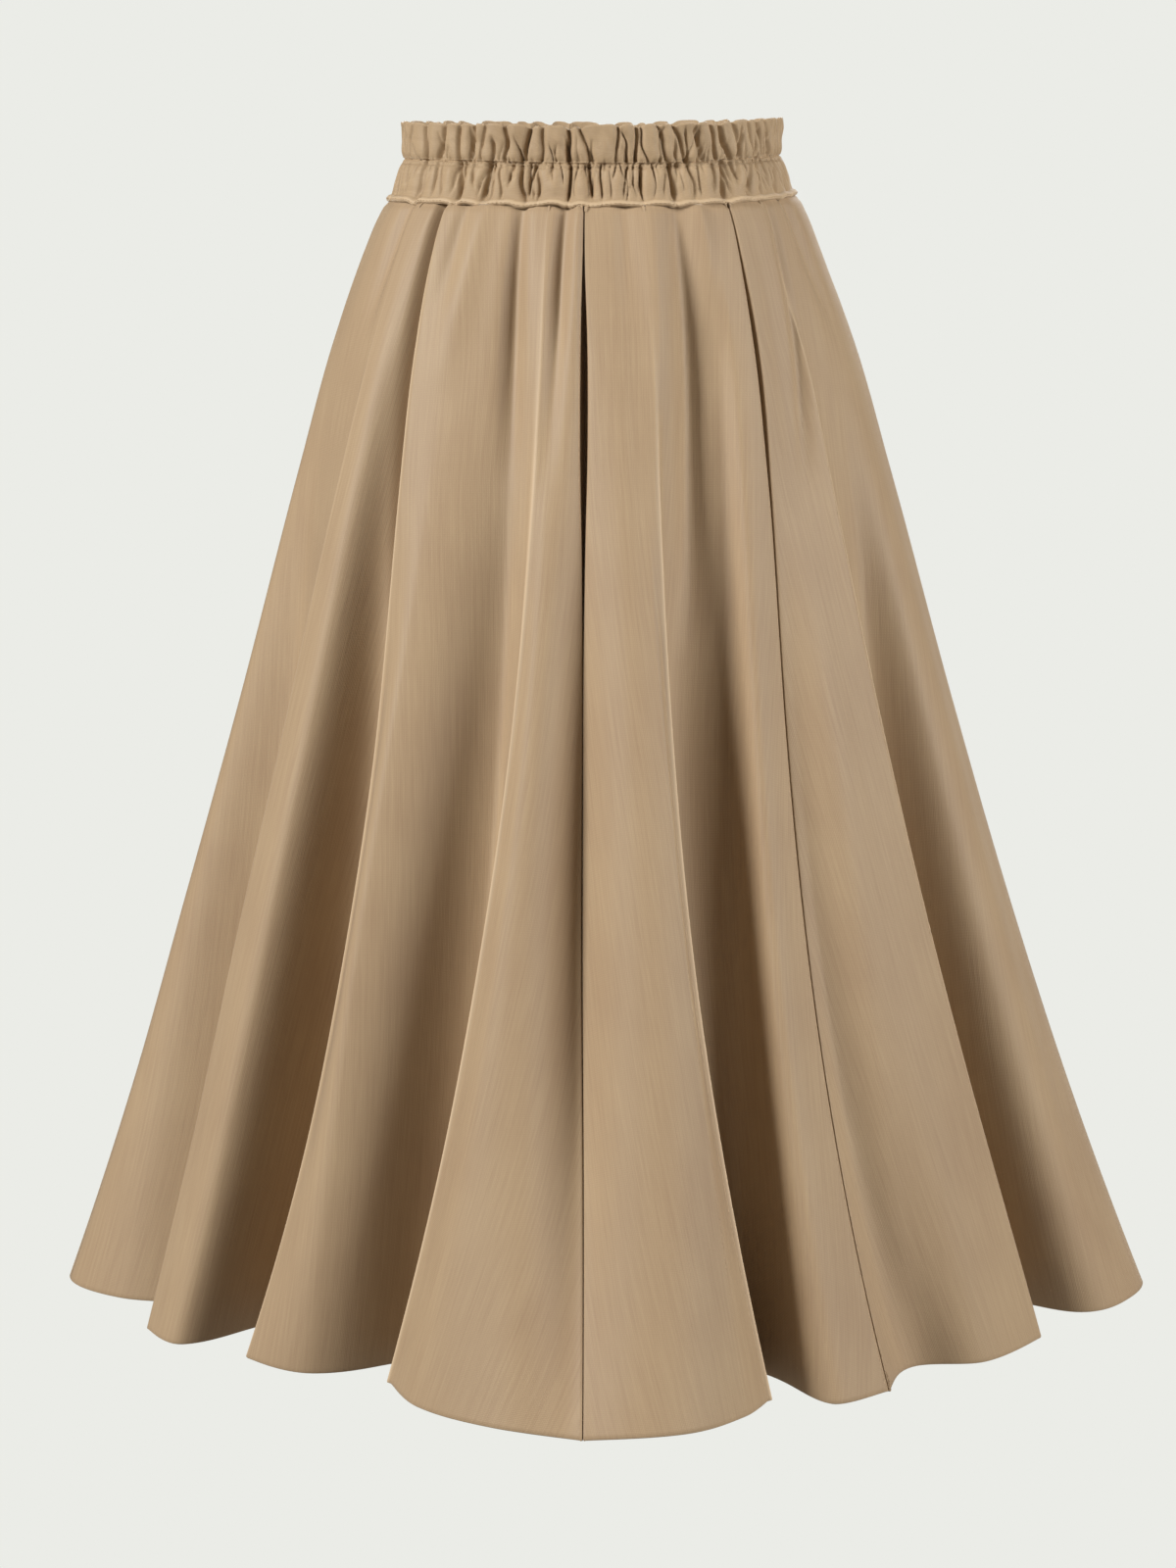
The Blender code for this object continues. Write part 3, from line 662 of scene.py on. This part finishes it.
# Near the waist seam they lose the first share of their depth, from the second share of the way
# down to it, over the third.
SEAM_FLATTENS, FLATTENS_FROM, FLATTENS_OVER = 0.75, 0.72, 0.18

# Fine creases that fan out from the stitch row. How many each way, and the least and most of
# their turn, depth, half width and reach.
FINE_CREASES = 130
FINE_TURN = (-3.2, 3.2)
FINE_DEPTH = (0.0008, 0.0026)
FINE_WIDTH = (0.0013, 0.0022)
FINE_REACH = (0.25, 1.0)
FINE_SEED = 23

GROOVE_DEPTH = 0.0009       # of the stitch row
GROOVE_HALF = 0.0008

# The rolled edge of the waist seam, topstitched down.
RIDGE_HEIGHT = -0.0240
RIDGE_HALF = 0.0018
RIDGE_PROUD = 0.0024
RIDGE_HIGHLIGHT_SHARE = 0.6         # share of the painted highlight on its top, where it catches the light

band_angles = -90.0 + 360.0 * np.arange(BAND_COLUMNS) / BAND_COLUMNS


def band_rows():
    """The band's section, from its foot outside, over the fold at the top, to its foot inside."""
    outside = np.arange(BAND_FOOT, BAND_TOP - BAND_THICKNESS / 2, BAND_ROW_STEP)
    on_ridge = np.arange(BAND_FOOT, RIDGE_HEIGHT + FINE_ROWS_PAST_RIDGE * RIDGE_HALF,
                         FINE_ROW_STEP)
    at_stitches = np.arange(-FINE_ROWS, FINE_ROWS + 1) * FINE_ROW_STEP
    outside = outside[(outside > on_ridge[-1]) & (np.abs(outside) > at_stitches[-1])]
    outside = np.sort(np.concatenate((outside, on_ridge, at_stitches)))
    fold = np.radians(np.linspace(0.0, 180.0, TOP_FOLD_ROWS))
    radius = BAND_THICKNESS / 2
    rows = [(height, 0.0) for height in outside]
    rows += [(BAND_TOP - radius + radius * math.sin(a), radius - radius * math.cos(a))
             for a in fold]
    inside = np.arange(BAND_TOP - 2 * BAND_THICKNESS, BAND_FOOT, -INSIDE_ROW_STEP)
    rows += [(height, BAND_THICKNESS) for height in inside]
    return np.array(rows + [(BAND_FOOT, BAND_THICKNESS), (BAND_FOOT, 0.0)])


def crease_insets(creases, reach_share, radius, draw, turns_round=(0.0, BACK_TURN)):
    """How far creases draw the cloth in, at a share of the way from the stitch row."""
    inset = np.zeros((len(reach_share), BAND_COLUMNS))
    share = reach_share[:, None]
    for turn in turns_round:
        for row_angle, far_angle, depth, width, reach in creases:
            phase, bend = draw.uniform(0.0, math.tau), draw.uniform(*SWAY_BENDS)
            sway = CREASE_SWAY * np.sin(phase + math.tau * bend * share)
            away = np.radians(apart(band_angles[None, :],
                                    turn + row_angle + share * (far_angle - row_angle) + sway))
            away = np.abs(away * radius) / width
            cusp = (CUSP_SHARE * np.clip(1 - away / CUSP_WIDTH, 0.0, 1.0) ** CUSP_POWER
                    + BELL_SHARE * np.exp(-(away / BELL_WIDTH) ** 2))
            ending = np.clip((reach + CREASE_FADE / 2 - share) / CREASE_FADE, 0.0, 1.0)
            fade = ending if reach < 1.0 else 1.0
            inset += depth * fade * cusp
    return inset


def evened(values, spread):
    """Values round the band, each averaged with those up to some columns away."""
    return sum(np.roll(values, k) for k in range(-spread, spread + 1)) / (2 * spread + 1)


band_section = band_rows()
section_heights, section_insets = band_section[:, 0], band_section[:, 1]
band_stops, band_widths, band_depths = columns_of(BAND)
band_half_width = through(band_stops, band_widths, section_heights)[:, None]
band_half_depth = through(band_stops, band_depths, section_heights)[:, None]
turns = np.radians(band_angles)[None, :]
band_radius = np.hypot(band_half_width * np.cos(turns), band_half_depth * np.sin(turns))
above = np.clip(section_heights / BAND_TOP, 0.0, 1.0)
below = np.clip(section_heights / BAND_FOOT, 0.0, 1.0)
starts_above = np.clip(section_heights / CREASE_RISE + CREASE_AT_ROW, 0.0, 1.0)[:, None]
starts_below = np.clip(-section_heights / CREASE_RISE + CREASE_AT_ROW, 0.0, 1.0)[:, None]
ends_below = 1 - SEAM_FLATTENS * np.clip((below[:, None] - FLATTENS_FROM) / FLATTENS_OVER, 0.0, 1.0)
sway_draw = np.random.default_rng(SWAY_SEED)
band_inset = (starts_above * crease_insets(HEADING_CREASES, above, band_radius, sway_draw)
              + starts_below * ends_below
              * crease_insets(CASING_CREASES, below, band_radius, sway_draw))

fine_draw = np.random.default_rng(FINE_SEED)
for share, part in ((above, starts_above), (below, starts_below * ends_below)):
    fine_creases = []
    for i in range(FINE_CREASES):
        start = fine_draw.uniform(-90.0, 270.0)
        fine_creases.append((start, start + fine_draw.uniform(*FINE_TURN),
                             fine_draw.uniform(*FINE_DEPTH), fine_draw.uniform(*FINE_WIDTH),
                             fine_draw.uniform(*FINE_REACH)))
    band_inset = band_inset + part * crease_insets(fine_creases, share, band_radius,
                                                   fine_draw, (0.0,))

pucker_draw = np.random.default_rng(PUCKER_SEED)
for i in range(PUCKERS):
    place = -90.0 + 360.0 * (i + pucker_draw.uniform(-PUCKER_UNEVEN, PUCKER_UNEVEN)) / PUCKERS
    size = pucker_draw.uniform(*PUCKER_SIZES)
    lean = pucker_draw.uniform(-PUCKER_LEAN, PUCKER_LEAN)
    away = np.abs(np.radians(apart(band_angles[None, :], place)) * band_radius
                  - lean * section_heights[:, None])
    cusp = np.clip(1 - away / PUCKER_WIDTH, 0.0, 1.0)
    reach = PUCKER_HEIGHT * (PUCKER_HEIGHT_MORE + size)
    fade = np.exp(-(section_heights[:, None] / reach) ** 2)
    band_inset = band_inset + PUCKER_DEPTH * size * cusp * fade

dent_draw = np.random.default_rng(DENT_SEED)
for i in range(DENTS):
    place, height = dent_draw.uniform(-90.0, 270.0), dent_draw.uniform(RIDGE_HEIGHT, BAND_TOP)
    size, lean = dent_draw.uniform(-1.0, 1.0), dent_draw.uniform(-DENT_SLANT, DENT_SLANT)
    raised = section_heights[:, None] - height
    away = np.radians(apart(band_angles[None, :], place)) * band_radius - lean * raised
    band_inset = band_inset + (DENT_DEPTH * size * ends_below * np.exp(
        -(away / DENT_WIDTH) ** 2 - (raised / DENT_HEIGHT) ** 2))

groove = GROOVE_DEPTH * np.exp(-(section_heights[:, None] / GROOVE_HALF) ** 2)
ridge = RIDGE_PROUD * np.sqrt(np.clip(
    1 - ((section_heights[:, None] - RIDGE_HEIGHT) / RIDGE_HALF) ** 2, 0.0, 1.0))
ridge = np.where(section_insets[:, None] > 0, 0.0, ridge)
total_inset = band_inset + groove - ridge + section_insets[:, None]
lift_stops, top_lift, row_lift = columns_of(BAND_LIFT)
lifts = [through(lift_stops, column, band_angles) for column in (top_lift, row_lift)]
lifts.append(through(*columns_of(SEAM_LIFT), band_angles))
seam_dip = evened(band_inset[np.argmin(np.abs(section_heights - SEAM_DIP_HEIGHT))],
                  SEAM_DIP_SPREAD)
top_dip = evened(band_inset[np.argmin(np.abs(section_heights - TOP_DIP_HEIGHT))], TOP_DIP_SPREAD)
band_z = (section_heights[:, None]
          + above[:, None] * (lifts[0] - lifts[1] - TOP_DIP * (top_dip - top_dip.mean()))[None, :]
          + lifts[1][None, :]
          + below[:, None] * (lifts[2] - lifts[1] - SEAM_DIP * (seam_dip - seam_dip.mean()))[None, :])
band_grid = np.stack(((band_half_width - total_inset) * np.sin(turns),
                      -(band_half_depth - total_inset) * np.cos(turns), band_z), axis=2)

# The band's copy of the cloth is painted a shade lighter than the panels', standing in for the
# stronger light on the band.
band_cloth_painted_lighter = khaki_cloth("khaki_twill_band", "B39B7A", "9F8667", 0.00018)
# The ridge's top carries a painted highlight.
band = bpy.data.objects.new(
    "waistband_cloth", cloth_mesh("waistband_cloth", band_grid[::-1], True,
                                  lengths_along(band_grid[::-1], True),
                                  np.broadcast_to(RIDGE_HIGHLIGHT_SHARE * ridge[::-1] / RIDGE_PROUD,
                                                  band_grid.shape[:2])))
band.data.materials.append(band_cloth_painted_lighter)
bpy.context.scene.collection.objects.link(band)
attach(band, "root")
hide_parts("waistband")


# ---------------------------------------------------------------- stitches
# Spun polyester thread a shade lighter than the cloth: one row through the waistband above the
# elastic, one along the rolled edge of the waist seam, and the hem's small blind stitches.

THREAD_TWIST = 0.0006
WAIST_THREAD_OUT = 0.0002   # how far the middle of a thread lies outside the cloth's face
HEM_STITCH_ROW = -6         # row of the outer cloth with the hem's blind stitches

# pitch, length, radius, unevenness and seed of each row of stitches, in the order of their paths
STITCHES = (
    (0.0031, 0.0023, 0.00024, 0.3, 1),
    (0.0030, 0.0024, 0.00024, 0.3, 2),
    (0.0075, 0.0012, 0.00014, 0.6, 3),
)


def stitch_tree():
    """Threads of a given length and radius, laid at a given pitch along the edges of a mesh."""
    tree = bpy.data.node_groups.new("stitches_along_edges", "GeometryNodeTree")
    tree.interface.new_socket("Path", in_out="INPUT", socket_type="NodeSocketGeometry")
    for size in ("Pitch", "Length", "Radius", "Unevenness"):
        tree.interface.new_socket(size, in_out="INPUT", socket_type="NodeSocketFloat")
    tree.interface.new_socket("Seed", in_out="INPUT", socket_type="NodeSocketInt")
    tree.interface.new_socket("Thread", in_out="INPUT", socket_type="NodeSocketMaterial")
    tree.interface.new_socket("Stitches", in_out="OUTPUT", socket_type="NodeSocketGeometry")
    given = node(tree, "NodeGroupInput").outputs
    path = node(tree, "GeometryNodeMeshToCurve", mesh=given["Path"])
    places = node(tree, "GeometryNodeResampleCurve", {"mode": "LENGTH"},
                  curve=path.outputs["Curve"], length=given["Pitch"])
    thread = node(tree, "GeometryNodeMeshUVSphere", segments=6, rings=5, radius=1.0)
    along = node(tree, "GeometryNodeInputTangent")
    turned = node(tree, "FunctionNodeAlignRotationToVector", {"axis": "X"},
                  vector=along.outputs["Tangent"])
    least = node(tree, "ShaderNodeMath", {"operation": "SUBTRACT"})
    least.inputs[0].default_value = 1.0
    tree.links.new(given["Unevenness"], least.inputs[1])
    uneven = node(tree, "FunctionNodeRandomValue", {"data_type": "FLOAT"},
                  min=least.outputs["Value"], max=1.0, seed=given["Seed"])
    half_length = node(tree, "ShaderNodeMath", {"operation": "MULTIPLY"})
    tree.links.new(given["Length"], half_length.inputs[0])
    half_length.inputs[1].default_value = 0.5
    size = node(tree, "ShaderNodeCombineXYZ", x=half_length.outputs["Value"],
                y=given["Radius"], z=given["Radius"])
    uneven_size = node(tree, "ShaderNodeVectorMath", {"operation": "SCALE"},
                       vector=size.outputs["Vector"], scale=uneven.outputs["Value"])
    laid = node(tree, "GeometryNodeInstanceOnPoints", points=places.outputs["Curve"],
                instance=thread.outputs["Mesh"], rotation=turned.outputs["Rotation"],
                scale=uneven_size.outputs["Vector"])
    real = node(tree, "GeometryNodeRealizeInstances", geometry=laid.outputs["Instances"])
    coloured = node(tree, "GeometryNodeSetMaterial", geometry=real.outputs["Geometry"],
                    material=given["Thread"])
    result = node(tree, "NodeGroupOutput")
    tree.links.new(coloured.outputs["Geometry"], result.inputs["Stitches"])
    return tree


def thread_paint():
    """Spun polyester thread: khaki, slightly glossy, with the twist of its plies."""
    material = bpy.data.materials.new("spun_polyester_thread")
    material.use_nodes = True
    tree = material.node_tree
    shader = tree.nodes["Principled BSDF"]
    place = node(tree, "ShaderNodeTexCoord")
    plies = node(tree, "ShaderNodeTexWave", {"bands_direction": "DIAGONAL"},
                 vector=place.outputs["Object"], scale=BANDS_PER_UNIT / THREAD_TWIST)
    shade = node(tree, "ShaderNodeValToRGB", fac=plies.outputs["Fac"])
    shade.color_ramp.elements[0].color = linear("9C8060")
    shade.color_ramp.elements[1].color = linear("BDA07C")
    tree.links.new(shade.outputs["Color"], shader.inputs["Base Color"])
    bump = node(tree, "ShaderNodeBump", strength=0.4, distance=0.0001,
                height=plies.outputs["Fac"])
    tree.links.new(bump.outputs["Normal"], shader.inputs["Normal"])
    shader.inputs["Roughness"].default_value = 0.5
    return material


def path_object(name, points, closed):
    """A mesh of edges through points."""
    mesh = bpy.data.meshes.new(name)
    edges = [(i, i + 1) for i in range(len(points) - 1)]
    mesh.from_pydata(points.tolist(), edges + ([(len(points) - 1, 0)] if closed else []), [])
    path = bpy.data.objects.new(name, mesh)
    bpy.context.scene.collection.objects.link(path)
    return path


stitches = stitch_tree()
thread = thread_paint()
on_band = {height: int(np.argmin(np.abs(section_heights - height) + section_insets))
           for height in (0.0, RIDGE_HEIGHT)}
band_out = outward(band_grid[..., :2])
paths = (
    ("waist_gathering_stitches",
     band_grid[on_band[0.0]] + WAIST_THREAD_OUT * np.pad(band_out[on_band[0.0]], ((0, 0), (0, 1)))),
    ("waist_seam_stitches",
     band_grid[on_band[RIDGE_HEIGHT]]
     + WAIST_THREAD_OUT * np.pad(band_out[on_band[RIDGE_HEIGHT]], ((0, 0), (0, 1)))),
    ("hem_blind_stitches",
     np.column_stack((rings[HEM_STITCH_ROW], heights[HEM_STITCH_ROW]))),
)
for (stitch_name, points), (pitch, length, radius, unevenness, seed) in zip(paths, STITCHES):
    path = path_object(stitch_name, points, True)
    laid = path.modifiers.new("stitches", "NODES")
    laid.node_group = stitches
    sockets = {item.name: item.identifier for item in stitches.interface.items_tree
               if item.in_out == "INPUT"}
    for socket, value in (("Pitch", pitch), ("Length", length), ("Radius", radius),
                          ("Unevenness", unevenness), ("Seed", seed), ("Thread", thread)):
        laid[sockets[socket]] = value
    bpy.context.view_layer.update()
    evaluated = path.evaluated_get(bpy.context.evaluated_depsgraph_get())
    threads = bpy.data.meshes.new_from_object(evaluated)
    path.modifiers.clear()
    path.data = threads
    threads.shade_smooth()
    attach(path, "root")


# ---------------------------------------------------------------- studio
# A pale seamless floor and backdrop. The main soft lamp stands at the left, a larger, weaker one
# at the right, and one behind for the back. The camera looks slightly down at the front.

FLOOR_Z = -1.04
FLOOR_HALF = 60.0
BACKDROP = "EBECE7"         # what the camera sees of the floor and the surround

# Linear colours that the skirt is lit with from below and from all round.
FLOOR_BOUNCE = (0.25, 0.24, 0.23, 1.0)
SURROUND_GLOW, GLOW_STRENGTH = (1.0, 0.70, 0.42, 1.0), 0.09

floor_mesh = bpy.data.meshes.new("studio_floor")
floor_mesh.from_pydata([(x, y, FLOOR_Z) for x, y in ((-FLOOR_HALF, -FLOOR_HALF),
                        (FLOOR_HALF, -FLOOR_HALF), (FLOOR_HALF, FLOOR_HALF),
                        (-FLOOR_HALF, FLOOR_HALF))], [], [(0, 1, 2, 3)])
floor = bpy.data.objects.new("studio_floor", floor_mesh)
bpy.context.scene.collection.objects.link(floor)
floor_paint = bpy.data.materials.new("pale_matt_backdrop_paint")
floor_paint.use_nodes = True
floor_tree = floor_paint.node_tree
floor_tree.nodes.clear()
seen = node(floor_tree, "ShaderNodeLightPath")
bounce = node(floor_tree, "ShaderNodeBsdfDiffuse", color=FLOOR_BOUNCE)
shown = node(floor_tree, "ShaderNodeEmission", color=linear(BACKDROP), strength=1.0)
floor_mix = node(floor_tree, "ShaderNodeMixShader", fac=seen.outputs["Is Camera Ray"])
floor_tree.links.new(bounce.outputs["BSDF"], floor_mix.inputs[1])
floor_tree.links.new(shown.outputs["Emission"], floor_mix.inputs[2])
floor_out = node(floor_tree, "ShaderNodeOutputMaterial")
floor_tree.links.new(floor_mix.outputs["Shader"], floor_out.inputs["Surface"])
floor_mesh.materials.append(floor_paint)

world = bpy.data.worlds.new("studio_surround")
bpy.context.scene.world = world
world.use_nodes = True
world_tree = world.node_tree
world_tree.nodes.clear()
world_seen = node(world_tree, "ShaderNodeLightPath")
glow = node(world_tree, "ShaderNodeBackground", color=SURROUND_GLOW, strength=GLOW_STRENGTH)
backdrop = node(world_tree, "ShaderNodeBackground", color=linear(BACKDROP), strength=1.0)
world_mix = node(world_tree, "ShaderNodeMixShader", fac=world_seen.outputs["Is Camera Ray"])
world_tree.links.new(glow.outputs["Background"], world_mix.inputs[1])
world_tree.links.new(backdrop.outputs["Background"], world_mix.inputs[2])
world_out = node(world_tree, "ShaderNodeOutputWorld")
world_tree.links.new(world_mix.outputs["Shader"], world_out.inputs["Surface"])

LAMP_AIM = (0.0, 0.0, -0.4)
# lamp, degrees round from the front and above the level, distance, side, watts
LAMPS = (
    ("key_softbox", -58.0, 29.0, 4.4, 1.2, 226.0),
    ("fill_softbox", 64.0, 20.0, 4.4, 2.3, 180.0),
    ("back_softbox", 172.0, 24.0, 4.4, 3.0, 130.0),
)
for lamp_name, round_from_front, above_level, distance, side, watts in LAMPS:
    light = bpy.data.lights.new(lamp_name, "AREA")
    light.shape = "SQUARE"
    light.size = side
    light.energy = watts
    lamp = bpy.data.objects.new(lamp_name, light)
    bpy.context.scene.collection.objects.link(lamp)
    turn, rise = math.radians(round_from_front), math.radians(above_level)
    lamp.location = (LAMP_AIM[0] + distance * math.cos(rise) * math.sin(turn),
                     LAMP_AIM[1] - distance * math.cos(rise) * math.cos(turn),
                     LAMP_AIM[2] + distance * math.sin(rise))
    lamp.rotation_euler = (math.radians(90.0) - rise, 0.0, turn)

CAMERA_PLACE = (-0.0025, -2.386, 0.045)
CAMERA_PITCH = 11.01        # degrees that it looks down
SENSOR = 36.0
FOCAL_PIXELS = 3609         # focal length in pixels of a picture IMAGE_HEIGHT high
IMAGE_HEIGHT = 1600

camera_data = bpy.data.cameras.new("camera")
camera_data.sensor_fit = "VERTICAL"
camera_data.sensor_height = SENSOR
camera_data.sensor_width = SENSOR
camera_data.lens = SENSOR * FOCAL_PIXELS / IMAGE_HEIGHT
camera = bpy.data.objects.new("camera", camera_data)
bpy.context.scene.collection.objects.link(camera)
camera.location = CAMERA_PLACE
camera.rotation_euler = (math.radians(90.0 - CAMERA_PITCH), 0.0, 0.0)
bpy.context.scene.camera = camera
bpy.context.scene.view_settings.view_transform = "Standard"

bpy.context.view_layer.update()
